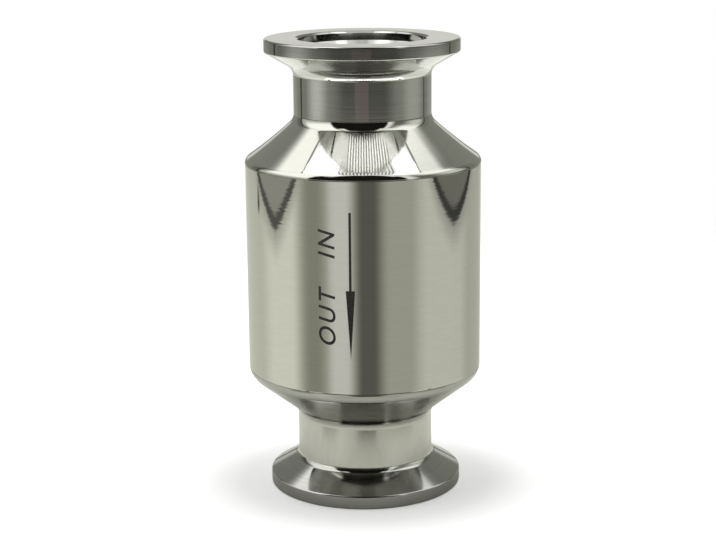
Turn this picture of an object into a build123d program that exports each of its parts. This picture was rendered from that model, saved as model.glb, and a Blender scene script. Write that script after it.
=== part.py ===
from build123d import *
from math import cos, pi, radians, sin, tan
import os

# A spring-loaded vacuum non-return valve in stainless steel. Two turned casings screw
# together at a seam near the top, and each ends in a small clamp flange. A disc on a
# sliding stem closes upwards against a flat seat. Gas pushes it down and passes.
# The axis is Z, and the origin is the centre of the outlet flange's sealing face.
# Sizes are in millimetres and degrees.

# Clamp flanges and necks, alike at both ends
flange_d = 40.0  # outside of the rim
rim_t = 2.7  # straight part of the rim, from the sealing face
back_angle = 30.0  # slope of the flange's back, from level
neck_d = 28.2
neck_wall = 2.1
neck_length = 10.3  # between the sharp corners of its two cones
centring_step = 1.1  # how much wider the centring recess is than the bore, on a side
centring_depth = 1.9  # to the foot of its straight wall, where a 45 degree taper starts
mouth_chamfer = 0.4
mouth_r = 0.8  # between the sealing face and that chamfer
rim_front_r = 0.4
rim_back_r = 0.25
neck_fillet_r = 1.5  # between a neck and its flange

# Outlet casing, the long lower one
body_d = 48.5
belly_length = 44.3  # straight side, from the lower sharp corner to the seam
outlet_angle = 38.0  # slope of the cone under the belly, from level
belly_corner_r = 3.0
outlet_fillet_r = 3.0
body_wall = 3.6
cone_wall = 3.2
ledge_width = 2.75  # step that carries the guide spider
ledge_rise = 2.0  # straight side under that step

# Inlet casing, the cap that screws into the outlet casing
cap_proud = 0.05  # how far the cap's edge stands out past the belly
cap_land = 0.8  # from the seam to the shoulder's sharp corner
shoulder_angle = 38.8
cap_edge_r = 1.4
inlet_fillet_r = 2.5
seam_break = 0.1  # edge break on both sides of the seam
seat_depth = 2.6  # the seat's face below the seam
seat_break = 0.3

# Screwed joint and its seal, with the thread as a plain cylinder
thread_depth = 0.8
thread_length = 10.0
thread_gap = 0.08
thread_relief = 1.2  # plain runout above the thread
land_step = 0.75  # how much wider the seal's land is than the thread, on a side
land_gap = 0.1
lead_in = 0.6
skirt_wall = 2.4
body_seal_cord = 2.0
body_seal_squeeze = 0.3
body_seal_room = 0.3  # spare width of its groove

# Valve disc and its face seal
seal_cord = 2.4
seal_squeeze = 0.1
seal_inset = 0.6  # from the bore to the seal
groove_room = 0.2  # spare width on each side of the seal
disc_lip = 0.8  # rim left outside the groove
disc_gap = 0.4  # from the closed disc to the seat's face
disc_t = 4.0
disc_edge_t = 2.0  # straight part of its edge
boss_wall = 1.9  # of the boss round the stem, which centres the spring
boss_h = 1.5
lift = 8.0  # the disc's travel

# Stem and its fasteners
stem_d = 6.0
stem_tail = 3.9  # below the guide bush
tail_chamfer = 0.6
screw_d = 5.0  # turned-down end that takes the nut
screw_gap = 0.04
nut_flats = 8.0
nut_h = 4.0
screw_past_nut = 1.0
lock_washer_d = 9.2
lock_washer_t = 1.2
lock_washer_slit = 1.0
clip_t = 0.7
clip_d = 10.0
clip_drop = 1.0  # from the guide bush down to the clip
clip_groove_depth = 0.7
clip_gap = 0.05

# Guide spider, bush, washer, stop sleeve and retaining ring
spider_gap = 0.1
spider_t = 3.0
spider_ring = 3.0  # width of the ring
arm_count = 3
arm_width = 3.2
hub_wall = 2.85  # round the bush
hub_up = 4.0  # above the ledge
hub_down = 4.0  # below the ledge
hub_break = 0.6
bush_wall = 1.6
bush_fit = 0.02
slide_gap = 0.05
bush_flange_t = 1.0
bush_flange_width = 2.2
washer_t = 0.6
washer_gap = 0.3  # to the stem
washer_margin = 0.7  # past the spring's coils
sleeve_wall = 1.2
sleeve_gap = 0.25
ring_t = 1.2
ring_groove_depth = 0.9
ring_groove_gap = 0.05
ring_width = 3.1
ring_opening = 30.0  # angle left open between the ears
ear_r = 2.2
ear_hole_d = 1.6

# Return spring, with closed and ground ends
wire_d = 0.8
spring_clearance = 0.6  # from the disc's boss to the coils
dead_turns = 1.0  # closed coils at each end
active_turns = 6.0
dead_pitch_share = 1.06
ground_share = 0.2  # height of the first wire's centre, as a share of the wire
points_per_turn = 12

# Radii that follow
flange_r = flange_d / 2
neck_r = neck_d / 2
bore_r = neck_r - neck_wall
centring_r = bore_r + centring_step
body_r = body_d / 2
cap_r = body_r + cap_proud
cavity_r = body_r - body_wall
ledge_r = cavity_r - ledge_width
thread_r = cavity_r + thread_depth
land_r = thread_r + land_step
spigot_r = land_r - land_gap
screw_in_r = thread_r - thread_gap
skirt_r = screw_in_r - skirt_wall

# Heights that follow, from the outlet's face up
flange_h = rim_t + (flange_r - neck_r) * tan(radians(back_angle))
outlet_corner_z = flange_h + neck_length
belly_z = outlet_corner_z + (body_r - neck_r) * tan(radians(outlet_angle))
seam_z = belly_z + belly_length
shoulder_z = seam_z + cap_land
inlet_corner_z = shoulder_z + (cap_r - neck_r) * tan(radians(shoulder_angle))
top_z = inlet_corner_z + neck_length + flange_h
cone_rise = tan(radians(outlet_angle))
bore_end_z = outlet_corner_z - neck_wall * cone_rise + cone_wall / cos(radians(outlet_angle))
ledge_foot_z = bore_end_z + (ledge_r - bore_r) * cone_rise
ledge_z = ledge_foot_z + ledge_rise
seat_z = seam_z - seat_depth

# The screwed joint's seal sits in the cap's spigot, between the thread and the seam
seal_groove_r = land_r - body_seal_cord + body_seal_squeeze
seal_groove_w = body_seal_cord + body_seal_squeeze + body_seal_room
seal_groove_top = seam_z - lead_in - seam_break
seal_groove_foot = seal_groove_top - seal_groove_w
land_z = seal_groove_foot - thread_relief
skirt_z = land_z - thread_length
thread_foot_z = skirt_z - thread_relief

# Places of the moving parts, with the valve closed
seal_r = bore_r + seal_inset + seal_cord / 2
groove_half = seal_cord / 2 + groove_room
disc_r = seal_r + groove_half + disc_lip
disc_top = seat_z - disc_gap
seal_z = seat_z - seal_cord / 2 + seal_squeeze
groove_z = seal_z - seal_cord / 2
disc_foot = disc_top - disc_t
boss_z = disc_foot - boss_h
stem_r = stem_d / 2
screw_r = screw_d / 2
hub_z = ledge_z - hub_down
hub_top = ledge_z + hub_up
bush_top = hub_top + bush_flange_t
washer_top = bush_top + washer_t
bush_in_r = stem_r + slide_gap
bush_out_r = bush_in_r + bush_wall
clip_top = hub_z - clip_drop
stem_foot = hub_z - stem_tail
sleeve_top = boss_z - lift
boss_r = stem_r + boss_wall
wire_r = wire_d / 2
coil_r = boss_r + spring_clearance + wire_r


def flange_outside(face, way):
    """Outer corners of a clamp flange, from its sealing face to its neck."""
    return [
        (flange_r, face),
        (flange_r, face + way * rim_t),
        (neck_r, face + way * flange_h),
    ]


def flange_inside(face, way):
    """Inner corners of the same flange, from its bore out to its sealing face."""
    return [
        (bore_r, face + way * (centring_depth + centring_step)),
        (centring_r, face + way * centring_depth),
        (centring_r, face + way * mouth_chamfer),
        (centring_r + mouth_chamfer, face),
    ]


def corners(section, *places):
    """The corners of a turned section that lie at these radii and heights."""
    return [section.vertices().sort_by_distance((r, z, 0))[0] for r, z in places]


def round_flange(section, face, way):
    """Rounds a flange's mouth, its rim and the hollow where its back meets the neck."""
    front, back, foot = flange_outside(face, way)
    fillet(corners(section, (centring_r + mouth_chamfer, face)), mouth_r)
    fillet(corners(section, front), rim_front_r)
    fillet(corners(section, back), rim_back_r)
    fillet(corners(section, foot), neck_fillet_r)


# Outlet casing: flange, neck, cone and belly, bored out from above
with BuildPart() as outlet_body:
    ring_groove_z = ledge_z + spider_t + ring_groove_gap
    ring_groove_top = ring_groove_z + ring_t + 2 * ring_groove_gap
    with BuildSketch(Plane.XZ) as outlet_section:
        with BuildLine():
            Polyline(
                *flange_outside(0, 1),
                (neck_r, outlet_corner_z),
                (body_r, belly_z),
                (body_r, seam_z - seam_break),
                (body_r - seam_break, seam_z),
                (land_r + lead_in, seam_z),
                (land_r, seam_z - lead_in),
                (land_r, land_z),
                (thread_r, land_z - land_step),
                (thread_r, thread_foot_z),
                (cavity_r, thread_foot_z - thread_depth),
                (cavity_r, ring_groove_top),
                (cavity_r + ring_groove_depth, ring_groove_top),
                (cavity_r + ring_groove_depth, ring_groove_z),
                (cavity_r, ring_groove_z),
                (cavity_r, ledge_z),
                (ledge_r, ledge_z),
                (ledge_r, ledge_foot_z),
                (bore_r, bore_end_z),
                *flange_inside(0, 1),
                close=True,
            )
        make_face()
        round_flange(outlet_section, 0, 1)
        fillet(corners(outlet_section, (neck_r, outlet_corner_z)), outlet_fillet_r)
        fillet(corners(outlet_section, (body_r, belly_z)), belly_corner_r)
    revolve(axis=Axis.Z)
outlet_body.part.label = "outlet_body"

# Inlet casing: flange, neck and shoulder above, and a threaded skirt round the seat
with BuildPart() as inlet_cap:
    with BuildSketch(Plane.XZ) as inlet_section:
        with BuildLine():
            Polyline(
                *flange_outside(top_z, -1),
                (neck_r, inlet_corner_z),
                (cap_r, shoulder_z),
                (cap_r, seam_z + seam_break),
                (cap_r - seam_break, seam_z),
                (spigot_r, seam_z),
                (spigot_r, seal_groove_top),
                (seal_groove_r, seal_groove_top),
                (seal_groove_r, seal_groove_foot),
                (spigot_r, seal_groove_foot),
                (spigot_r, land_z + land_gap),
                (screw_in_r, land_z - land_step + land_gap),
                (screw_in_r, skirt_z + lead_in),
                (screw_in_r - lead_in, skirt_z),
                (skirt_r, skirt_z),
                (skirt_r, seat_z),
                (bore_r + seat_break, seat_z),
                (bore_r, seat_z + seat_break),
                *flange_inside(top_z, -1),
                close=True,
            )
        make_face()
        round_flange(inlet_section, top_z, -1)
        fillet(corners(inlet_section, (neck_r, inlet_corner_z)), inlet_fillet_r)
        fillet(corners(inlet_section, (cap_r, shoulder_z)), cap_edge_r)
    revolve(axis=Axis.Z)
inlet_cap.part.label = "inlet_cap"

# Seal of the screwed joint, an O-ring pressed flat between its groove and the land
with BuildPart() as body_seal:
    with BuildSketch(Plane.XZ):
        with Locations(((land_r + seal_groove_r) / 2, (seal_groove_top + seal_groove_foot) / 2)):
            Circle(body_seal_cord / 2)
            Rectangle(land_r - seal_groove_r, body_seal_cord, mode=Mode.INTERSECT)
    revolve(axis=Axis.Z)
body_seal.part.label = "body_seal"

# Valve disc: a seal groove in its face, a cone under it and a boss for the spring
with BuildPart() as poppet_disc:
    with BuildSketch(Plane.XZ):
        with BuildLine():
            Polyline(
                (screw_r + screw_gap, disc_top),
                (seal_r - groove_half, disc_top),
                (seal_r - groove_half, groove_z),
                (seal_r + groove_half, groove_z),
                (seal_r + groove_half, disc_top),
                (disc_r - seat_break, disc_top),
                (disc_r, disc_top - seat_break),
                (disc_r, disc_top - disc_edge_t),
                (coil_r + wire_d, disc_foot),
                (boss_r, disc_foot),
                (boss_r, boss_z),
                (screw_r + screw_gap, boss_z),
                close=True,
            )
        make_face()
    revolve(axis=Axis.Z)
poppet_disc.part.label = "poppet_disc"

# Face seal of the disc, an O-ring pressed flat where it meets the seat
with BuildPart() as poppet_seal:
    with BuildSketch(Plane.XZ):
        with Locations((seal_r, seal_z)):
            Circle(seal_cord / 2)
        with Locations((seal_r, seat_z)):
            Rectangle(seal_cord, seal_cord, align=(Align.CENTER, Align.MIN), mode=Mode.SUBTRACT)
    revolve(axis=Axis.Z)
poppet_seal.part.label = "poppet_seal"

# Stem: a ground rod with a turned-down screw end and a groove for the clip
with BuildPart() as valve_stem:
    screw_top = disc_top + lock_washer_t + nut_h + screw_past_nut
    clip_foot = clip_top - clip_t
    with BuildSketch(Plane.XZ):
        with BuildLine():
            Polyline(
                (0, screw_top),
                (screw_r - tail_chamfer, screw_top),
                (screw_r, screw_top - tail_chamfer),
                (screw_r, boss_z),
                (stem_r, boss_z),
                (stem_r, clip_top + clip_gap),
                (stem_r - clip_groove_depth, clip_top + clip_gap),
                (stem_r - clip_groove_depth, clip_foot - clip_gap),
                (stem_r, clip_foot - clip_gap),
                (stem_r, stem_foot + tail_chamfer),
                (stem_r - tail_chamfer, stem_foot),
                (0, stem_foot),
                close=True,
            )
        make_face()
    revolve(axis=Axis.Z)
valve_stem.part.label = "valve_stem"

# Split spring washer under the nut
with BuildPart() as lock_washer:
    with BuildSketch(Plane.XY.offset(disc_top)):
        Circle(lock_washer_d / 2)
        Circle(screw_r + screw_gap, mode=Mode.SUBTRACT)
        with Locations((lock_washer_d / 4, 0)):
            Rectangle(lock_washer_d / 2, lock_washer_slit, mode=Mode.SUBTRACT)
    extrude(amount=lock_washer_t)
lock_washer.part.label = "lock_washer"

# Hexagon nut, with its corners turned off at 30 degrees above and below
with BuildPart() as stem_nut:
    nut_z = disc_top + lock_washer_t
    nut_corner_r = nut_flats / 2 / cos(radians(30))
    nut_turn = (nut_corner_r - nut_flats / 2) * tan(radians(30))
    with BuildSketch(Plane.XY.offset(nut_z)):
        RegularPolygon(nut_flats / 2, 6, major_radius=False)
        Circle(screw_r + screw_gap, mode=Mode.SUBTRACT)
    extrude(amount=nut_h)
    with BuildSketch(Plane.XZ):
        with BuildLine():
            Polyline(
                (0, nut_z),
                (nut_flats / 2, nut_z),
                (nut_corner_r, nut_z + nut_turn),
                (nut_corner_r, nut_z + nut_h - nut_turn),
                (nut_flats / 2, nut_z + nut_h),
                (0, nut_z + nut_h),
                close=True,
            )
        make_face()
    revolve(axis=Axis.Z, mode=Mode.INTERSECT)
stem_nut.part.label = "stem_nut"

# Clip on the stem's tail: an open washer with three lugs that bite in the groove
with BuildPart() as stem_clip:
    bite_r = stem_r - clip_groove_depth + clip_gap
    clip_relief_r = (bite_r + clip_d / 2) / 2
    with BuildSketch(Plane.XY.offset(clip_foot)):
        Circle(clip_d / 2)
        Circle(bite_r, mode=Mode.SUBTRACT)
        with Locations((clip_d / 2, 0)):
            Rectangle(clip_d, 2 * bite_r * cos(radians(20)), mode=Mode.SUBTRACT)
        with PolarLocations(bite_r, 2, start_angle=115, angular_range=130, endpoint=True):
            Circle((clip_relief_r - bite_r) * 0.9, mode=Mode.SUBTRACT)
    extrude(amount=clip_t)
stem_clip.part.label = "stem_clip"

# Guide spider: a ring on the ledge, three arms and a long hub
with BuildPart() as guide_spider:
    spider_r = cavity_r - spider_gap
    with BuildSketch(Plane.XY.offset(ledge_z)):
        Circle(spider_r)
        Circle(spider_r - spider_ring, mode=Mode.SUBTRACT)
        with PolarLocations(0, arm_count):
            Rectangle(spider_r - spider_ring / 2, arm_width, align=(Align.MIN, Align.CENTER))
    extrude(amount=spider_t)
    with BuildSketch(Plane.XY.offset(hub_z)):
        Circle(bush_out_r + hub_wall)
    extrude(amount=hub_top - hub_z)
    hub_ends = faces().filter_by(Axis.Z)
    chamfer(hub_ends.sort_by(Axis.Z)[0].edges(), hub_break)
    with Locations((0, 0, hub_top)):
        Hole(bush_out_r + bush_fit)
guide_spider.part.label = "guide_spider"

# Guide bush, a flanged plastic sleeve in the hub
with BuildPart() as guide_bush:
    with BuildSketch(Plane.XZ):
        with BuildLine():
            Polyline(
                (bush_in_r, hub_z),
                (bush_out_r, hub_z),
                (bush_out_r, hub_top),
                (bush_out_r + bush_flange_width, hub_top),
                (bush_out_r + bush_flange_width, bush_top),
                (bush_in_r, bush_top),
                close=True,
            )
        make_face()
    revolve(axis=Axis.Z)
guide_bush.part.label = "guide_bush"

# Washer that carries the spring and the stop sleeve
with BuildPart() as spring_washer:
    with BuildSketch(Plane.XY.offset(bush_top)):
        Circle(coil_r + wire_r + washer_margin)
        Circle(stem_r + washer_gap, mode=Mode.SUBTRACT)
    extrude(amount=washer_t)
spring_washer.part.label = "spring_washer"

# Stop sleeve round the stem, which the disc's boss meets when fully open
with BuildPart() as stop_sleeve:
    with BuildSketch(Plane.XY.offset(washer_top)):
        Circle(stem_r + sleeve_gap + sleeve_wall)
        Circle(stem_r + sleeve_gap, mode=Mode.SUBTRACT)
    extrude(amount=sleeve_top - washer_top)
stop_sleeve.part.label = "stop_sleeve"

# Retaining ring over the spider, sprung into its groove, with two ears for pliers
with BuildPart() as retaining_ring:
    ring_out_r = cavity_r + ring_groove_depth - ring_groove_gap
    ring_in_r = ring_out_r - ring_width
    ear_angle = ring_opening / 2 + ear_r / ring_in_r * 180 / pi
    with BuildSketch(Plane.XY.offset(ledge_z + spider_t + 2 * ring_groove_gap)):
        Circle(ring_out_r)
        Circle(ring_in_r, mode=Mode.SUBTRACT)
        with BuildLine():
            reach = 2 * ring_out_r
            half = radians(ring_opening / 2)
            Polyline(
                (0, 0),
                (reach * cos(half), reach * sin(half)),
                (reach * cos(half), -reach * sin(half)),
                close=True,
            )
        make_face(mode=Mode.SUBTRACT)
        with PolarLocations(ring_in_r, 2, start_angle=-ear_angle, angular_range=2 * ear_angle, endpoint=True):
            Circle(ear_r)
            Circle(ear_hole_d / 2, mode=Mode.SUBTRACT)
    extrude(amount=ring_t)
retaining_ring.part.label = "retaining_ring"


def coil_points(foot, top):
    """Centres of the wire from one end of the spring to the other, one closed coil at each end."""
    turns = active_turns + 2 * dead_turns
    steps = round(turns * points_per_turn)
    turn = turns / steps
    dead_pitch = wire_d * dead_pitch_share

    def opened(t):
        """0 on a closed coil and 1 on an open one, with half a turn between."""
        return min(1, max(0, 2 * (min(t, turns - t) - dead_turns + 0.25)))

    share = [opened((i + 0.5) * turn) for i in range(steps)]
    rise = top - foot - 2 * ground_share * wire_d
    extra = (rise - dead_pitch * turns) / (sum(share) * turn)
    z = foot + ground_share * wire_d
    points = [(coil_r, 0, z)]
    for i in range(steps):
        z += (dead_pitch + extra * share[i]) * turn
        angle = 2 * pi * (i + 1) * turn
        points.append((coil_r * cos(angle), coil_r * sin(angle), z))
    return points


# Return spring between the washer and the disc, ground flat at both ends
with BuildPart() as return_spring:
    with BuildLine() as coil:
        Spline(*coil_points(washer_top, disc_foot))
    with BuildSketch(Plane(origin=coil.line @ 0, z_dir=coil.line % 0)):
        Circle(wire_r)
    sweep(path=coil.line, is_frenet=True)
    split(bisect_by=Plane.XY.offset(washer_top), keep=Keep.TOP)
    split(bisect_by=Plane.XY.offset(disc_foot), keep=Keep.BOTTOM)
return_spring.part.label = "return_spring"

pieces = [
    outlet_body,
    inlet_cap,
    body_seal,
    poppet_disc,
    poppet_seal,
    valve_stem,
    lock_washer,
    stem_nut,
    stem_clip,
    guide_spider,
    guide_bush,
    spring_washer,
    stop_sleeve,
    retaining_ring,
    return_spring,
]

os.makedirs("parts", exist_ok=True)
for piece in pieces:
    export_step(piece.part, f"parts/{piece.part.label}.step")
print("height", round(top_z, 2), "seam", round(seam_z, 2), "seat", round(seat_z, 2))
print("ledge", round(ledge_z, 2), "spring", round(washer_top, 2), round(disc_foot, 2))
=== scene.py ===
"""Dresses the vacuum non-return valve: turned and blasted stainless steel, laser marks, studio."""

from math import atan2, cos, pi, radians, sin, tan

import bmesh
import bpy
from mathutils import Matrix, Vector


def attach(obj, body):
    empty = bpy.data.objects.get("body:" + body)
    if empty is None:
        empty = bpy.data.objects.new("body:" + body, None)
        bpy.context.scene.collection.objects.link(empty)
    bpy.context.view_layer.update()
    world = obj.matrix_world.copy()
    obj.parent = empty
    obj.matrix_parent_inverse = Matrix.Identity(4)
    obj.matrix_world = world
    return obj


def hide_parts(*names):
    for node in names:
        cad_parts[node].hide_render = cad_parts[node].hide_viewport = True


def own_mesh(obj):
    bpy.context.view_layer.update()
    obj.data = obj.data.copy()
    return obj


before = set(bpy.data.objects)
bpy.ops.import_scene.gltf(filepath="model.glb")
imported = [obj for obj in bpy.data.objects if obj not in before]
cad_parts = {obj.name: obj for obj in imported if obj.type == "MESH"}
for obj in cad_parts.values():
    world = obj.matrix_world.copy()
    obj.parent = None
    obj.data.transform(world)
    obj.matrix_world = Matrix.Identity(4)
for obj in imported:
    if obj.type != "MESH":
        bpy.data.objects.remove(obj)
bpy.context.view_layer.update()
MM = 0.001

# The casings' outside in millimetres
FLANGE_R, RIM_T, RIM_FRONT, RIM_BACK = 20.0, 2.7, 0.4, 0.35
NECK_R, BORE_R, NECK_ROUND, UPPER_NECK_ROUND = 14.1, 12.0, 1.5, 2.4
FLANGE_H = RIM_T + (FLANGE_R - NECK_R) * tan(radians(30))
NECK_H = 10.3
BELLY_R, CAP_R = 24.25, 24.3
OUTLET_CORNER = FLANGE_H + NECK_H
BELLY_FOOT = OUTLET_CORNER + (BELLY_R - NECK_R) * tan(radians(38))
SEAM = BELLY_FOOT + 44.3
SHOULDER = SEAM + 0.8
INLET_CORNER = SHOULDER + (CAP_R - NECK_R) * tan(radians(38.8))
TOP = INLET_CORNER + NECK_H + FLANGE_H
BELLY_ROUND, CAP_ROUND, SHOULDER_ROUND = 3.0, 1.4, 2.5
SEAM_BREAK = 0.1
HOLLOW = 3.9  # degrees by which the wheel left the shoulder hollow
HOLLOW_SHARE = 0.395  # of the flank's length on either side that the hollow's curve takes
TURNS = 288  # faces round a turned piece
ROUND_FACES = 8  # faces across a rounded corner

# The centring recess in each flange's face
RECESS_R, MOUTH_R, MOUTH_ROUND = BORE_R + 1.1, BORE_R + 1.5, 0.8
MOUTH_DEPTH, RECESS_DEPTH, RECESS_END = 0.4, 1.9, 3.0

# The outlet casing's inside
LAND_R, LAND_MOUTH_R, THREAD_R, CHAMBER_R = 22.2, 22.8, 21.45, 20.65
RING_GROOVE_R, RING_GROOVE_TOP, RING_GROOVE_FOOT = 21.55, 29.84, 28.49
LEDGE_R, LEDGE, FUNNEL_TOP, FUNNEL_FOOT = 17.9, 25.44, 23.44, 18.83

# The inlet casing's skirt, which screws into it, and the seat
SKIRT_LAND_R, SKIRT_THREAD_R, SKIRT_END_R, SKIRT_BORE_R = 22.1, 21.37, 20.77, 18.97
SKIRT_END = SEAM - 14.5
SEAT = SEAM - 2.6
SEAT_BREAK = 0.3


def hex_linear(code):
    """An sRGB hex colour as linear RGBA."""
    parts = [int(code[i:i + 2], 16) / 255 for i in (1, 3, 5)]
    return [c / 12.92 if c <= 0.04045 else ((c + 0.055) / 1.055) ** 2.4 for c in parts] + [1.0]


def add_node(tree, kind, settings=None, **sockets):
    """Adds a node. A socket's value is a constant, or the output socket of another node."""
    node = tree.nodes.new("ShaderNode" + kind)
    for key, value in (settings or {}).items():
        setattr(node, key, value)
    for key, value in sockets.items():
        name = key.replace("_", " ")
        socket = node.inputs[int(name[1:])] if name[1:].isdigit() else node.inputs[name]
        if isinstance(value, bpy.types.NodeSocket):
            tree.links.new(value, socket)
        else:
            socket.default_value = value
    return node


def calc(tree, operation, a, b=0.0, c=0.0):
    """The result of a Math node."""
    return add_node(tree, "Math", {"operation": operation}, i0=a, i1=b, i2=c).outputs[0]


def product(tree, value, *others):
    """The product of several values."""
    for other in others:
        value = calc(tree, "MULTIPLY", value, other)
    return value


def blend(tree, factor, a, b):
    """The colour between two."""
    return add_node(tree, "Mix", {"data_type": "RGBA"}, i0=factor, i6=a, i7=b).outputs[2]


def rescale(tree, value, start, end, low=0.0, high=1.0):
    """From low where the value is start to high where it is end, in a straight line."""
    return add_node(
        tree, "MapRange", Value=value, From_Min=start, From_Max=end, To_Min=low, To_Max=high
    ).outputs[0]


def ease(tree, value, start, end):
    """From 0 where the value is start to 1 where it is end, in a soft curve."""
    return add_node(
        tree, "MapRange", {"interpolation_type": "SMOOTHSTEP"}, Value=value, From_Min=start, From_Max=end
    ).outputs[0]


def between(tree, value, low, high, soft):
    """1 from low to high, and falling to 0 over soft on either side."""
    return product(tree, ease(tree, value, low - soft, low), ease(tree, value, high + soft, high))


def azimuth_of(tree, x, y):
    """Degrees round the axis from the camera's side, right positive."""
    return calc(tree, "DEGREES", calc(tree, "ARCTAN2", x, calc(tree, "MULTIPLY", y, -1)))


# Materials

def new_material(name):
    """A material with its tree and its Principled shader."""
    material = bpy.data.materials.new(name)
    material.use_nodes = True
    return material, material.node_tree, material.node_tree.nodes["Principled BSDF"]


def object_place(tree):
    return add_node(tree, "TexCoord").outputs["Object"]


def speckle(tree, place, size_mm, detail):
    """Noise with clouds of about this size."""
    return add_node(tree, "TexNoise", Vector=place, Scale=1 / (size_mm * MM), Detail=detail).outputs["Fac"]


def bump_from(tree, height, size_m):
    return add_node(tree, "Bump", Strength=1.0, Distance=size_m, Height=height).outputs[0]


def radial(tree):
    """The place without its height: the way from the axis."""
    part = add_node(tree, "SeparateXYZ", Vector=object_place(tree))
    return add_node(tree, "CombineXYZ", X=part.outputs["X"], Y=part.outputs["Y"]).outputs[0]


def way_round(tree):
    """The direction from the axis to the place, as a flat unit vector."""
    return add_node(tree, "VectorMath", {"operation": "NORMALIZE"}, i0=radial(tree)).outputs["Vector"]


def ring_noise(tree, spacing_mm, drift, detail):
    """Noise that runs round the axis: rings spacing_mm apart on any turned face."""
    part = add_node(tree, "SeparateXYZ", Vector=object_place(tree))
    radius = add_node(tree, "VectorMath", {"operation": "LENGTH"}, i0=radial(tree)).outputs["Value"]
    ways = add_node(tree, "SeparateXYZ", Vector=way_round(tree))
    scale = 1 / (spacing_mm * MM)
    rings = add_node(
        tree, "CombineXYZ",
        X=calc(tree, "MULTIPLY", radius, scale),
        Y=calc(tree, "MULTIPLY", part.outputs["Z"], scale),
        Z=calc(tree, "MULTIPLY", ways.outputs["X"], drift),
    ).outputs[0]
    turn = calc(tree, "MULTIPLY", ways.outputs["Y"], drift)
    return add_node(
        tree, "TexNoise", {"noise_dimensions": "4D"}, Vector=rings, W=turn, Scale=1.0, Detail=detail
    ).outputs["Fac"]


def turned_steel(name, shades, rough, spacing_mm, depth_mm, stretch, chatter_mm=0.0, drift=1.5,
                 detail=2.0):
    """Stainless steel off the lathe: the tool's fine rings stretch what it mirrors up and down."""
    material, tree, shader = new_material(name)
    marks = ring_noise(tree, spacing_mm, drift, detail)
    bands = ring_noise(tree, spacing_mm * 9, drift=0.8, detail=1.0)
    # Chatter: faint flats about 0.5 mm wide side by side round the axis, drawn wider than they are
    flats = add_node(
        tree, "TexNoise", {"noise_dimensions": "2D"}, Vector=way_round(tree), Scale=36.0, Detail=1.0
    ).outputs["Fac"]
    height = calc(tree, "MULTIPLY_ADD", flats, chatter_mm, calc(tree, "MULTIPLY", marks, depth_mm))
    polish = rescale(tree, bands, 0.3, 0.7, low=rough * 0.8, high=rough * 1.25)
    colour = blend(tree, marks, hex_linear(shades[0]), hex_linear(shades[1]))
    around = add_node(
        tree, "VectorMath", {"operation": "CROSS_PRODUCT"}, i0=(0, 0, 1), i1=object_place(tree)
    ).outputs[0]
    tree.links.new(colour, shader.inputs["Base Color"])
    tree.links.new(polish, shader.inputs["Roughness"])
    tree.links.new(bump_from(tree, height, MM), shader.inputs["Normal"])
    tree.links.new(around, shader.inputs["Tangent"])
    shader.inputs["Metallic"].default_value = 1.0
    shader.inputs["Anisotropic"].default_value = stretch
    shader.inputs["Anisotropic Rotation"].default_value = 0.25
    return material


def blasted_steel():
    """Stainless steel blasted with fine glass beads: satin grey with faint upright clouds."""
    material, tree, shader = new_material("blasted_stainless")
    place = object_place(tree)
    upright = add_node(tree, "VectorMath", {"operation": "MULTIPLY"}, i0=place, i1=(1, 1, 0.3)).outputs[0]
    clouds = speckle(tree, upright, size_mm=0.9, detail=3.0)
    grit = speckle(tree, place, size_mm=0.25, detail=2.0)
    polish = rescale(tree, clouds, 0.0, 1.0, low=0.12, high=0.26)
    colour = blend(tree, clouds, hex_linear("#D6D6CF"), hex_linear("#F0F0EA"))
    tree.links.new(colour, shader.inputs["Base Color"])
    tree.links.new(polish, shader.inputs["Roughness"])
    tree.links.new(bump_from(tree, grit, 0.004 * MM), shader.inputs["Normal"])
    shader.inputs["Metallic"].default_value = 1.0
    return material


def fluorocarbon_rubber():
    """Moulded fluorocarbon rubber: black, with a dull sheen and a fine bloom."""
    material, tree, shader = new_material("moulded_fluoro_rubber")
    bloom = speckle(tree, object_place(tree), size_mm=0.8, detail=3.0)
    polish = rescale(tree, bloom, 0.0, 1.0, low=0.38, high=0.6)
    colour = blend(tree, bloom, hex_linear("#161616"), hex_linear("#262624"))
    tree.links.new(colour, shader.inputs["Base Color"])
    tree.links.new(polish, shader.inputs["Roughness"])
    return material


def turned_ptfe():
    """PTFE turned from bar: waxy white, with faint tool rings."""
    material, tree, shader = new_material("turned_ptfe")
    marks = ring_noise(tree, spacing_mm=0.12, drift=0.5, detail=1.0)
    colour = blend(tree, marks, hex_linear("#E6E4DC"), hex_linear("#F4F3EE"))
    tree.links.new(colour, shader.inputs["Base Color"])
    tree.links.new(bump_from(tree, marks, 0.004 * MM), shader.inputs["Normal"])
    shader.inputs["Roughness"].default_value = 0.42
    return material


def drawn_wire():
    """Stainless spring wire: drawn bright, with a straw tinge in fine clouds."""
    material, tree, shader = new_material("drawn_spring_wire")
    tinge = speckle(tree, object_place(tree), size_mm=0.35, detail=3.0)
    polish = rescale(tree, tinge, 0.0, 1.0, low=0.2, high=0.38)
    colour = blend(tree, tinge, hex_linear("#9A978C"), hex_linear("#C9C6BA"))
    tree.links.new(colour, shader.inputs["Base Color"])
    tree.links.new(polish, shader.inputs["Roughness"])
    shader.inputs["Metallic"].default_value = 1.0
    return material


def laser_mark():
    """Laser-annealed steel: a flat dark oxide skin, a little brown where the beam was slow."""
    material, tree, shader = new_material("laser_oxide")
    scan = speckle(tree, object_place(tree), size_mm=0.3, detail=3.0)
    colour = blend(tree, scan, hex_linear("#1B1A17"), hex_linear("#312F2A"))
    tree.links.new(colour, shader.inputs["Base Color"])
    shader.inputs["Roughness"].default_value = 0.5
    return material


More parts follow.
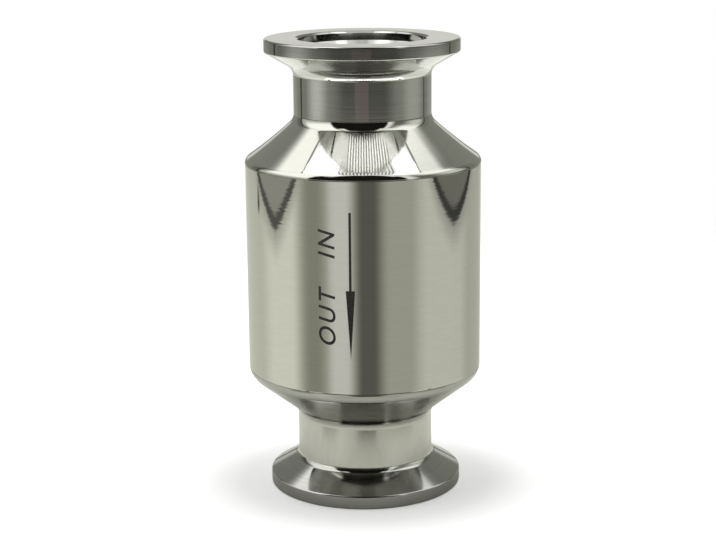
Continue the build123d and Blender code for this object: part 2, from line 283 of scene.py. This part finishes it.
POLISHED = turned_steel(
    "polished_turned_stainless", ("#C8C8C3", "#CFCFCB"), rough=0.02, spacing_mm=0.5,
    depth_mm=0.0008, stretch=0.5, chatter_mm=0.0001, drift=8.0, detail=0.5,
)
DRESSED = turned_steel(
    "dressed_turned_stainless", ("#C8C8C3", "#CFCFCB"), rough=0.044, spacing_mm=0.5,
    depth_mm=0.0003, stretch=1.0, chatter_mm=0.0001, drift=6.0, detail=0.5,
)
# Turned stainless darkened far below steel's own colour: painted shade for the cone under the belly
SHADE_DARKENED = turned_steel(
    "shade_darkened_turned_stainless", ("#666663", "#7E7E7B"), rough=0.09, spacing_mm=0.25,
    depth_mm=0.0016, stretch=0.8, chatter_mm=0.0006,
)
STREAKED = turned_steel(
    "streaked_turned_stainless", ("#BEBEBA", "#D0D0CC"), rough=0.06, spacing_mm=0.3,
    depth_mm=0.0012, stretch=0.6, chatter_mm=0.0042,
)
COARSE = turned_steel(
    "coarse_turned_stainless", ("#A8A8A6", "#C4C4C2"), rough=0.08, spacing_mm=0.25,
    depth_mm=0.0016, stretch=0.8, chatter_mm=0.0006,
)
BORED = turned_steel(
    "bored_stainless", ("#B4B4AE", "#C6C6C1"), rough=0.22, spacing_mm=0.2,
    depth_mm=0.004, stretch=0.6,
)
GROUND = turned_steel(
    "ground_stainless", ("#C6C6C0", "#D2D2CD"), rough=0.16, spacing_mm=0.08,
    depth_mm=0.001, stretch=0.6,
)
PLAIN_TURNED = turned_steel(
    "plain_turned_stainless", ("#B4B4AD", "#C8C8C2"), rough=0.24, spacing_mm=0.18,
    depth_mm=0.004, stretch=0.6,
)
BLASTED = blasted_steel()
RUBBER = fluorocarbon_rubber()
PTFE = turned_ptfe()
WIRE = drawn_wire()
OXIDE = laser_mark()


# Turned casings

def object_from(bm, name, materials, sharp_deg=30):
    """The mesh as an object of its own: smooth but for its sharp corners, with true flats."""
    mesh = bpy.data.meshes.new(name)
    bm.to_mesh(mesh)
    bm.free()
    for material in materials:
        mesh.materials.append(material)
    mesh.shade_smooth()
    mesh.set_sharp_from_angle(angle=radians(sharp_deg))
    piece = bpy.data.objects.new(name, mesh)
    bpy.context.scene.collection.objects.link(piece)
    flats = piece.modifiers.new("true_flats", "WEIGHTED_NORMAL")
    flats.weight = 100
    flats.keep_sharp = True
    return piece


def ring_edges(bm, radius, height):
    """The edges that run round the axis at this radius and height."""
    def on_ring(vert):
        return abs(vert.co.xy.length - radius * MM) < 1e-6 and abs(vert.co.z - height * MM) < 1e-6
    return [edge for edge in bm.edges if all(on_ring(vert) for vert in edge.verts)]


def turned(name, outline, finish_of, finishes):
    """Spins a closed outline of (radius, height, rounding) corners, then rounds its corners."""
    bm = bmesh.new()
    verts = [bm.verts.new((0, -r * MM, z * MM)) for r, z, _ in outline]
    edges = [bm.edges.new(pair) for pair in zip(verts, verts[1:] + verts[:1])]
    bmesh.ops.spin(
        bm, geom=verts + edges, cent=(0, 0, 0), axis=(0, 0, 1), angle=2 * pi, steps=TURNS,
        use_merge=True,
    )
    bmesh.ops.recalc_face_normals(bm, faces=bm.faces)
    count = len(outline)
    for i, (r, z, rounding) in enumerate(outline):
        if not rounding:
            continue
        before, after = outline[i - 1], outline[(i + 1) % count]
        way_in = atan2(z - before[1], r - before[0])
        way_out = atan2(after[1] - z, after[0] - r)
        turn = abs((way_out - way_in + pi) % (2 * pi) - pi)
        bmesh.ops.bevel(
            bm, geom=ring_edges(bm, r, z), offset=rounding * tan(turn / 2) * MM,
            offset_type="OFFSET", segments=ROUND_FACES, profile=0.5, affect="EDGES", material=-1,
            clamp_overlap=False,
        )
    for face in bm.faces:
        middle = face.calc_center_median()
        face.material_index = finishes.index(finish_of(middle.xy.length / MM, middle.z / MM))
    return object_from(bm, name, finishes)


def flange_outside(face, way, neck_round):
    """The corners from a flange's face to its neck, which lies above (1) or below (-1) the face."""
    return [
        (FLANGE_R, face, RIM_FRONT),
        (FLANGE_R, face + way * RIM_T, RIM_BACK),
        (NECK_R, face + way * FLANGE_H, neck_round),
    ]


def flange_inside(face, way):
    """The corners from the bore through the centring recess to the face."""
    return [
        (BORE_R, face + way * RECESS_END, 0),
        (RECESS_R, face + way * RECESS_DEPTH, 0),
        (RECESS_R, face + way * MOUTH_DEPTH, 0),
        (MOUTH_R, face, MOUTH_ROUND),
    ]


def hollow_of(upper, lower, degrees):
    """A corner in a flank's middle, sunk a little and rounded over most of the flank's length."""
    run, drop = lower[0] - upper[0], upper[1] - lower[1]
    length = (run * run + drop * drop) ** 0.5
    sink = tan(radians(degrees)) / 2
    return (
        (upper[0] + lower[0]) / 2 - drop * sink, (upper[1] + lower[1]) / 2 - run * sink,
        length * HOLLOW_SHARE / tan(radians(degrees)),
    )


def outlet_finish(r, z):
    """The outlet casing's finish at this radius and height, with painted shade under the belly."""
    # The chamber lies inside a steep slope that runs between the cone's two faces
    in_chamber = r < RING_GROOVE_R + 0.05 and 17.2 < z < SEAM - 0.7 and r < NECK_R + (z - 15) * 1.0
    if r < BORE_R + 0.05 or in_chamber:
        return BORED
    if r < NECK_R + 0.5 and FLANGE_H + 0.35 < z < OUTLET_CORNER + 1.4:
        return BLASTED
    if r > BELLY_R - 1.15:
        return POLISHED
    # Under the belly the steel is darkened with painted shade
    return COARSE if z < FLANGE_H + 0.4 else SHADE_DARKENED


def inlet_finish(r, z):
    """The inlet casing's finish at this radius and height."""
    if r < BORE_R + 0.05 or z < SEAM - 0.05:
        return BORED
    if z < INLET_CORNER + 1.2:
        return POLISHED if r > CAP_R - 0.1 else DRESSED
    return STREAKED if r < NECK_R + 0.3 and z < TOP - FLANGE_H - 0.8 else COARSE


outlet_casing = turned(
    "outlet_casing",
    [
        *flange_outside(0, 1, NECK_ROUND),
        (NECK_R, OUTLET_CORNER, BELLY_ROUND),
        (BELLY_R, BELLY_FOOT, BELLY_ROUND),
        (BELLY_R, SEAM - SEAM_BREAK, 0),
        (BELLY_R - SEAM_BREAK, SEAM, 0),
        (LAND_MOUTH_R, SEAM, 0),
        (LAND_R, SEAM - 0.6, 0),
        (LAND_R, SEAM - 4.5, 0),
        (THREAD_R, SEAM - 5.25, 0),
        (THREAD_R, SEAM - 15.7, 0),
        (CHAMBER_R, SEAM - 16.5, 0),
        (CHAMBER_R, RING_GROOVE_TOP, 0),
        (RING_GROOVE_R, RING_GROOVE_TOP, 0),
        (RING_GROOVE_R, RING_GROOVE_FOOT, 0),
        (CHAMBER_R, RING_GROOVE_FOOT, 0),
        (CHAMBER_R, LEDGE, 0),
        (LEDGE_R, LEDGE, 0),
        (LEDGE_R, FUNNEL_TOP, 0),
        (BORE_R, FUNNEL_FOOT, 0),
        *flange_inside(0, 1),
    ],
    outlet_finish,
    [POLISHED, BORED, BLASTED, COARSE, SHADE_DARKENED],
)
inlet_casing = turned(
    "inlet_casing",
    [
        *flange_outside(TOP, -1, UPPER_NECK_ROUND),
        (NECK_R, INLET_CORNER, SHOULDER_ROUND),
        hollow_of((NECK_R, INLET_CORNER), (CAP_R, SHOULDER), HOLLOW),
        (CAP_R, SHOULDER, CAP_ROUND),
        (CAP_R, SEAM + SEAM_BREAK, 0),
        (CAP_R - SEAM_BREAK, SEAM, 0),
        (SKIRT_LAND_R, SEAM, 0),
        (SKIRT_LAND_R, SEAM - 4.4, 0),
        (SKIRT_THREAD_R, SEAM - 5.15, 0),
        (SKIRT_THREAD_R, SEAM - 13.9, 0),
        (SKIRT_END_R, SKIRT_END, 0),
        (SKIRT_BORE_R, SKIRT_END, 0),
        (SKIRT_BORE_R, SEAT, 0),
        (BORE_R + SEAT_BREAK, SEAT, 0),
        (BORE_R, SEAT + SEAT_BREAK, 0),
        *flange_inside(TOP, -1),
    ],
    inlet_finish,
    [POLISHED, BORED, COARSE, STREAKED, DRESSED],
)
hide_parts("outlet_body")
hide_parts("inlet_cap")
for casing in (outlet_casing, inlet_casing):
    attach(casing, "casing")


# Inner pieces

def finished(node, name, material, body):
    """A smooth copy of a CAD node's mesh, with its facets merged."""
    bm = bmesh.new()
    bm.from_mesh(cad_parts[node].data)
    bmesh.ops.remove_doubles(bm, verts=bm.verts, dist=1e-7)
    for face in bm.faces:
        face.material_index = 0
    piece = object_from(bm, name, [material])
    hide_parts(node)
    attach(piece, body)
    return piece


finished("body_seal", "joint_o_ring", RUBBER, "casing")
finished("poppet_seal", "face_o_ring", RUBBER, "poppet")
finished("poppet_disc", "turned_disc", PLAIN_TURNED, "poppet")
finished("valve_stem", "ground_stem", GROUND, "poppet")
finished("lock_washer", "split_washer", PLAIN_TURNED, "poppet")
finished("stem_nut", "hexagon_nut", PLAIN_TURNED, "poppet")
finished("stem_clip", "open_clip", WIRE, "poppet")
finished("guide_spider", "three_arm_spider", PLAIN_TURNED, "casing")
finished("guide_bush", "flanged_bush", PTFE, "casing")
finished("spring_washer", "thrust_washer", PLAIN_TURNED, "casing")
finished("stop_sleeve", "lift_stop", PLAIN_TURNED, "casing")
finished("retaining_ring", "eared_ring", WIRE, "casing")
spring = finished("return_spring", "coil_spring", WIRE, "casing")
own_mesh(spring)


# Laser marks on the belly, drawn flat in millimetres: x round the belly from its front, y up it

MARK_PROUD, MARK_SUNK = 0.02, 0.05  # how far a mark stands out of the belly, and reaches into it
STRIP = 0.4  # the width of its flat faces
ARROW_X, ARROW_TAIL, ARROW_NECK, ARROW_TIP = -2.69, 62.5, 46.9, 33.0
ARROW_LINE, ARROW_HEAD = 0.5, 1.85
LETTER_H, LETTER_FOOT_X = 3.4, -5.8
CAPITAL_SHARE = 0.7  # a capital's height in the font's size


def mark_on_belly(bm, name):
    """Cuts a flat drawing into narrow strips, gives it a thickness and wraps it on the belly."""
    for strip in range(-40, 10):
        bmesh.ops.bisect_plane(
            bm, geom=bm.verts[:] + bm.edges[:] + bm.faces[:], plane_co=(strip * STRIP, 0, 0),
            plane_no=(1, 0, 0),
        )
    bmesh.ops.recalc_face_normals(bm, faces=bm.faces)
    bmesh.ops.solidify(bm, geom=bm.faces, thickness=0.08)
    for vert in bm.verts:
        angle = vert.co.x / BELLY_R
        in_front = vert.co.z > -0.01
        radius = BELLY_R + (MARK_PROUD if in_front else -MARK_SUNK)
        vert.co = Vector((radius * sin(angle), -radius * cos(angle), vert.co.y)) * MM
    bmesh.ops.recalc_face_normals(bm, faces=bm.faces)
    mark = object_from(bm, name, [OXIDE])
    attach(mark, "casing")


def flow_arrow():
    """The arrow that shows the way the gas goes: a long shaft and a slim head."""
    bm = bmesh.new()
    half, head = ARROW_LINE / 2, ARROW_HEAD / 2
    corners = [
        (-half, ARROW_TAIL), (-half, ARROW_NECK), (-head, ARROW_NECK), (0, ARROW_TIP),
        (head, ARROW_NECK), (half, ARROW_NECK), (half, ARROW_TAIL),
    ]
    bm.faces.new([bm.verts.new((ARROW_X + x, y, 0)) for x, y in corners])
    mark_on_belly(bm, "flow_arrow")


def port_word(word, name, start):
    """A port's name in sloping letters that run up the belly from the height start."""
    curve = bpy.data.curves.new(name, "FONT")
    curve.body = word
    curve.size = LETTER_H / CAPITAL_SHARE
    curve.shear = 0.25
    curve.space_character = 1.25
    curve.offset = 0.04
    text = bpy.data.objects.new(name, curve)
    bpy.context.scene.collection.objects.link(text)
    bpy.context.view_layer.update()
    mesh = bpy.data.meshes.new_from_object(text)
    bpy.data.objects.remove(text)
    bm = bmesh.new()
    bm.from_mesh(mesh)
    bmesh.ops.remove_doubles(bm, verts=bm.verts, dist=0.001)
    bmesh.ops.rotate(bm, verts=bm.verts, cent=(0, 0, 0), matrix=Matrix.Rotation(pi / 2, 3, "Z"))
    bmesh.ops.translate(bm, verts=bm.verts, vec=(LETTER_FOOT_X, start, 0))
    mark_on_belly(bm, name)


flow_arrow()
port_word("OUT", "outlet_word", 35.3)
port_word("IN", "inlet_word", 53.0)


# Studio: a pale table, and a tent whose cloths and openings the steel mirrors

LIGHT = 1.6  # the tent's brightness, so that its colours come back from the steel as written
WHITE = (1, 1, 1, 1)

TABLE_R = 0.3
UNDER_FLANGE_R = 0.0195
FADE_SEEN, FADE_MIRRORED = (0.2, 0.29), (0.082, 0.094)  # distances over which the table fades

# Painted shadows on the table as the steel mirrors it: the contact shadow round the foot, the camera's
# shadow in front, and darker rings and patches. Azimuth from and to and its softness, and the
# distances in metres at which the painted shade starts and is full
PAINTED_TABLE_SHADOWS = [
    (-180.0, 180.0, 1.0, 0.036, 0.020, "#BCBCB6"),
    (-180.0, 180.0, 1.0, 0.060, 0.090, "#A4A49E"),
    (24.0, 70.0, 14.0, 0.050, 0.056, "#C4C4BC"),
    (-62.0, -50.0, 12.0, 0.050, 0.056, "#B0B0A8"),
    (-14.0, 18.0, 26.0, 0.030, 0.042, "#D4D4CE"),
    (-5.0, 10.0, 13.0, 0.052, 0.057, "#50504C"),
    (-60.0, 64.0, 30.0, 0.070, 0.075, "#74746D"),
]


def table_with_painted_shadows(tree, place, distance):
    """The table's colour as the steel mirrors it, with painted shadows laid over it."""
    part = add_node(tree, "SeparateXYZ", Vector=place)
    azimuth = azimuth_of(tree, part.outputs["X"], part.outputs["Y"])
    shade = hex_linear("#ECECE7")
    for low, high, soft, start, full, code in PAINTED_TABLE_SHADOWS:
        ring = rescale(tree, distance, start, full)
        cover = product(tree, ring, between(tree, azimuth, low, high, soft))
        shade = blend(tree, cover, shade, hex_linear(code))
    return shade


def floor():
    """A white table top, clear from below. The camera sees it whiter than the steel does, and the steel
    sees painted shadows on it.
    """
    bm = bmesh.new()
    bmesh.ops.create_circle(bm, cap_ends=True, segments=96, radius=TABLE_R)
    mesh = bpy.data.meshes.new("table")
    bm.to_mesh(mesh)
    bm.free()
    table = bpy.data.objects.new("table", mesh)
    bpy.context.scene.collection.objects.link(table)
    material = bpy.data.materials.new("white_table")
    material.use_nodes = True
    tree = material.node_tree
    tree.nodes.clear()
    place = object_place(tree)
    distance = add_node(tree, "VectorMath", {"operation": "LENGTH"}, i0=place).outputs["Value"]
    seen = add_node(tree, "LightPath").outputs["Is Camera Ray"]
    mirrored_fade = ease(tree, distance, *FADE_MIRRORED)
    seen_fade = ease(tree, distance, *FADE_SEEN)
    fade = add_node(tree, "Mix", i0=seen, i2=mirrored_fade, i3=seen_fade).outputs[0]
    fade = calc(tree, "MAXIMUM", fade, add_node(tree, "NewGeometry").outputs["Backfacing"])
    # Clear under the flange too, whose face lies in the table's own plane
    fade = calc(tree, "MAXIMUM", fade, calc(tree, "LESS_THAN", distance, UNDER_FLANGE_R))
    shade = blend(tree, seen, table_with_painted_shadows(tree, place, distance), hex_linear("#EFEFF2"))
    cloth = add_node(tree, "BsdfDiffuse", Color=shade).outputs[0]
    # The camera sees the table glow, less in the shade close to the flange
    lift = product(tree, seen, rescale(tree, distance, 0.026, 0.036, low=0.29, high=0.5))
    glow = add_node(tree, "Emission", Color=WHITE, Strength=lift).outputs[0]
    both = add_node(tree, "AddShader", i0=cloth, i1=glow).outputs[0]
    clear = add_node(tree, "BsdfTransparent").outputs[0]
    mixed = add_node(tree, "MixShader", Fac=fade, i1=both, i2=clear).outputs[0]
    add_node(tree, "OutputMaterial", Surface=mixed)
    mesh.materials.append(material)


LAMP_BOARD = [1.65, 1.65, 1.6, 1.0]
BOARD = [1.7, 1.7, 1.66, 1.0]
DIM, BRIGHT = [0.3, 0.3, 0.29, 1.0], [2.7, 2.7, 2.64, 1.0]
ROOF_DIM, ROOF_BRIGHT = [0.1, 0.1, 0.095, 1.0], [0.95, 0.95, 0.93, 1.0]

# What the tent shows at each place: azimuth from the camera's side, right positive, its half
# width and softness, height from and to and its softness, all in degrees. Later ones cover.
TENT = [
    ("table", 0, 180, 1, -90, -9.6, 0.6, "#B0B1A5"),
    ("table_left", -88, 10, 24, -90, -9.6, 0.6, "#C6C7BB"),
    ("table_left_shade", -50, 3, 22, -90, -9.6, 0.6, "#7C7C71"),
    ("table_left_glow", -22, 4, 12, -60, -9.6, 0.6, "#B9B8B3"),
    ("table_right_shade", 34, 10, 26, -90, -9.6, 0.6, "#95958A"),
    ("table_right", 80, 8, 26, -90, -9.6, 0.6, "#B3B4A9"),
    ("table_right_back", 140, 14, 20, -90, -9.6, 0.6, "#9E9E93"),
    ("camera_shade", 4, 5, 17, -60, -9.6, 0.6, "#52514C"),
    ("near_table", 0, 180, 1, -90, -19, 1.5, "#E2E3DA"),
    ("lamp_board", 4, 72, 1, -38, -23, 2.0, LAMP_BOARD),
    ("table_under_lamps", 4, 80, 30, -90, -50, 2.0, "#64645A"),
    ("table_before_lamps", 4, 54, 20, -49, -39, 1.5, "#BDBDB6"),
    ("left_board_end", -58.8, 1.2, 1.0, -30, -18.6, 0.4, "#0E0E0C"),
    ("right_board_end", 67.5, 1.2, 1.0, -30, -17.9, 0.3, "#0E0E0C"),
    ("horizon", 0, 180, 1, -9, 1, 0.6, "#74756E"),
    ("horizon_back", 180, 30, 20, -9, 1, 0.6, "#93948C"),
    ("horizon_left", -82, 2, 27, -9, 1, 0.6, "#B2B3AC"),
    ("horizon_right", 93, 6, 26, -9, 1, 0.6, "#96978F"),
    ("horizon_front", 4, 30, 30, -9, 1, 0.6, "#42423E"),
    ("camera_body", -1, 10, 3, -9, 1, 0.6, "#5C5450"),
    ("horizon_edge", 0, 62, 20, -9.6, -8.5, 0.3, "#7A7A73"),
    ("horizon_line", 0, 180, 1, -5.0, 2.0, 0.7, "#2C2C2A"),
    ("sky", 0, 180, 1, 2, 90, 3.0, "#D8D9D4"),
    ("back_wall", 180, 38, 14, 1, 34, 12.0, "#7F8078"),
    ("left_wall", -86, 26, 10, 0, 34, 3.0, "#A3A49C"),
    ("left_roof", -136, 14, 12, 46, 78, 6.0, "#FAFAF4"),
    ("left_softbox", -82, 22, 12, 27, 74, 25.0, "#FDFDF8"),
    ("right_wall", 100, 42, 12, 0, 44, 6.0, "#5E5E58"),
    ("right_strip", 99, 3, 30, 8, 60, 10.0, "#BEBFB7"),
    ("right_softbox", 98, 14, 34, 42, 76, 20.0, "#F8F8F2"),
    ("left_corner", -150, 28, 10, 0, 33, 13.0, "#75766F"),
    ("right_corner", 150, 28, 10, 0, 33, 12.0, "#74756D"),
    ("left_post", -128, 4, 8, 0, 30, 4.0, "#5E5F59"),
    ("right_post", 128, 6, 8, 0, 30, 4.0, "#6A6B64"),
    ("back_glow", 180, 13, 10, 2.0, 8.0, 1.5, "#B8B8B2"),
    ("front_opening", -6, 46, 5, 3, 47, 4.0, "#151411"),
    ("front_opening_top", -1, 34, 6, 44, 80, 4.0, "#151411"),
    ("front_seam", -54, 1.2, 2.5, 40, 64, 4.0, "#6A6A64"),
    ("left_bar", -127, 14, 3, 57.9, 58.7, 0.6, "#86867F"),
    ("right_bar", 127, 14, 3, 59.8, 60.6, 0.6, "#86867F"),
    ("left_seam", -123, 1.2, 1.8, -10.9, 40, 0.5, "#3A3A36"),
    ("right_seam", 123, 0.6, 1.4, -10.2, 40, 0.6, "#34342F"),
]

NO_END = 999.0
# The table's left (-1) and right (1) ends: the edge's turn in degrees, how far its middle stands
# out, and the shades of its soft border, its edge and the tent's foot past it
TABLE_ENDS = [
    (-1.0, 5.0, 0.16, "#9C9C92", "#4C4C48", "#84847C"),
    (1.0, 8.0, 0.08, "#90908A", "#343431", "#66665F"),
]
# Where each of the three starts, in steps out for one step down, and its softness
END_STEPS = [(5.0, 0.55), (4.98, 0.1), (5.22, 0.12)]
# The roof's boards: from and to, in steps to the right for one step up, and the height in degrees
# above which they are seen
ROOF_BOARDS = [(-0.47, -0.2, 58.6), (0.25, 0.44, 60.5)]
# The roof's rows of lamps in the same steps: from and to, one row's width, and where a gap lies
ROOF_ROWS, ROOF_ROW, ROOF_GAP = (-0.18, 0.24), 0.0277, 0.0087
ROOF_DEPTH = (-0.02, 0.5)  # the roof from front to back, in steps back for one step up
# The rows below the camera in degrees round the axis, and the board's height from and to
FRONT_ROWS, FRONT_ROW, FRONT_GAP, FRONT_HEIGHT = (-28.0, 47.0), 5.01, 1.7, (-39.0, -26.0)
FRONT_EDGE = 1.85  # the table's front edge, in steps out for one step down


def rows(tree, place, spacing, gap):
    """1 on each lamp of a row and 0 between them, with a gap at the given place."""
    turn = calc(tree, "MULTIPLY", calc(tree, "SUBTRACT", place, gap), 2 * pi / spacing)
    return calc(tree, "MULTIPLY_ADD", calc(tree, "COSINE", turn), -0.5, 0.5)


def cloths(tree, colour, azimuth, height):
    """Lays the tent's list of cloths, boards and openings over the colour."""
    for _, centre, half, soft, low, high, height_soft, code in TENT:
        off = calc(tree, "WRAP", calc(tree, "SUBTRACT", azimuth, centre), 180.0, -180.0)
        across = between(tree, off, -half, half, soft)
        cover = product(tree, across, between(tree, height, low, high, height_soft))
        colour = blend(tree, cover, colour, code if isinstance(code, list) else hex_linear(code))
    return colour


def table_ends(tree, colour, x, y, down, height):
    """The table ends on the left and on the right, and the tent's dark foot shows past it."""
    foot = between(tree, height, -20.0, -9.3, 0.5)
    for side, turn, notch, *shades in TABLE_ENDS:
        out_x, out_y = side * cos(radians(turn)), sin(radians(turn))
        aside = calc(tree, "MULTIPLY_ADD", y, out_y, calc(tree, "MULTIPLY", x, out_x))
        along = calc(tree, "MULTIPLY_ADD", y, out_x, calc(tree, "MULTIPLY", x, -out_y))
        along = calc(tree, "DIVIDE", calc(tree, "ABSOLUTE", along), down)
        tip = rescale(tree, along, 1.3, 0.0, high=notch)
        reach = calc(tree, "ADD", calc(tree, "DIVIDE", aside, down), tip)
        for (start, soft), shade in zip(END_STEPS, shades):
            beyond = product(tree, between(tree, reach, start, NO_END, soft), foot)
            colour = blend(tree, beyond, colour, hex_linear(shade))
    return colour


def roof_lamps(tree, colour, x, y, z, height):
    """Two bright boards in the tent's roof, and rows of small lamps between them."""
    up = calc(tree, "MAXIMUM", z, 0.001)
    over, along = calc(tree, "DIVIDE", x, up), calc(tree, "DIVIDE", y, up)
    roof = between(tree, along, *ROOF_DEPTH, 0.04)
    for low, high, end in ROOF_BOARDS:
        cover = product(
            tree, between(tree, over, low, high, 0.02), roof, between(tree, height, end, 90.0, 0.6)
        )
        colour = blend(tree, cover, colour, BOARD)
    lit = blend(tree, rows(tree, over, ROOF_ROW, ROOF_GAP), ROOF_DIM, ROOF_BRIGHT)
    return blend(tree, product(tree, between(tree, over, *ROOF_ROWS, 0.03), roof), colour, lit)


def front_lamps(tree, colour, y, down, azimuth, height):
    """More rows on the board below the camera, and the dark past the table's front edge."""
    lit = blend(tree, rows(tree, azimuth, FRONT_ROW, FRONT_GAP), DIM, BRIGHT)
    board = product(
        tree, between(tree, azimuth, *FRONT_ROWS, 3.0), between(tree, height, *FRONT_HEIGHT, 1.5)
    )
    colour = blend(tree, board, colour, lit)
    ahead = calc(tree, "DIVIDE", calc(tree, "MULTIPLY", y, -1), down)
    past = product(
        tree, between(tree, ahead, FRONT_EDGE, NO_END, 0.015),
        between(tree, height, -40.0, -18.6, 0.5), between(tree, azimuth, -40.0, 48.0, 4.0),
    )
    return blend(tree, past, colour, hex_linear("#0C0C0A"))


def tent_world():
    """The tent as the steel mirrors it. The camera sees plain white behind the object."""
    world = bpy.data.worlds.new("light_tent")
    bpy.context.scene.world = world
    world.use_nodes = True
    tree = world.node_tree
    tree.nodes.clear()
    part = add_node(tree, "SeparateXYZ", Vector=add_node(tree, "TexCoord").outputs["Generated"])
    x, y, z = (part.outputs[axis] for axis in "XYZ")
    azimuth = azimuth_of(tree, x, y)
    height = calc(tree, "DEGREES", calc(tree, "ARCSINE", z))
    down = calc(tree, "MAXIMUM", calc(tree, "MULTIPLY", z, -1), 0.001)
    colour = cloths(tree, hex_linear("#D8D9D4"), azimuth, height)
    colour = table_ends(tree, colour, x, y, down, height)
    colour = roof_lamps(tree, colour, x, y, z, height)
    colour = front_lamps(tree, colour, y, down, azimuth, height)
    seen = add_node(tree, "LightPath").outputs["Is Camera Ray"]
    strength = add_node(tree, "Mix", i0=seen, i2=LIGHT, i3=1.0).outputs[0]
    ground = add_node(tree, "Background", Color=blend(tree, seen, colour, WHITE), Strength=strength)
    add_node(tree, "OutputWorld", Surface=ground.outputs[0])


def camera():
    """The photograph's camera: 0.36 m in front, 0.13 m up, looking down by 13 degrees."""
    photo_width, focal_pixels = 716, 1776.7
    data = bpy.data.cameras.new("camera")
    data.sensor_width = 36.0
    data.lens = 36.0 * focal_pixels / photo_width
    data.clip_start = 0.01
    view = bpy.data.objects.new("camera", data)
    bpy.context.scene.collection.objects.link(view)
    turn = Matrix.Rotation(radians(0.196), 4, "Z") @ Matrix.Rotation(radians(90 - 13.12), 4, "X")
    roll = Matrix.Rotation(radians(-0.53), 4, "Z")
    view.matrix_world = Matrix.Translation((0, -0.3615, 0.1298)) @ turn @ roll
    bpy.context.scene.camera = view


floor()
tent_world()
camera()
bpy.context.scene.view_settings.view_transform = "Standard"
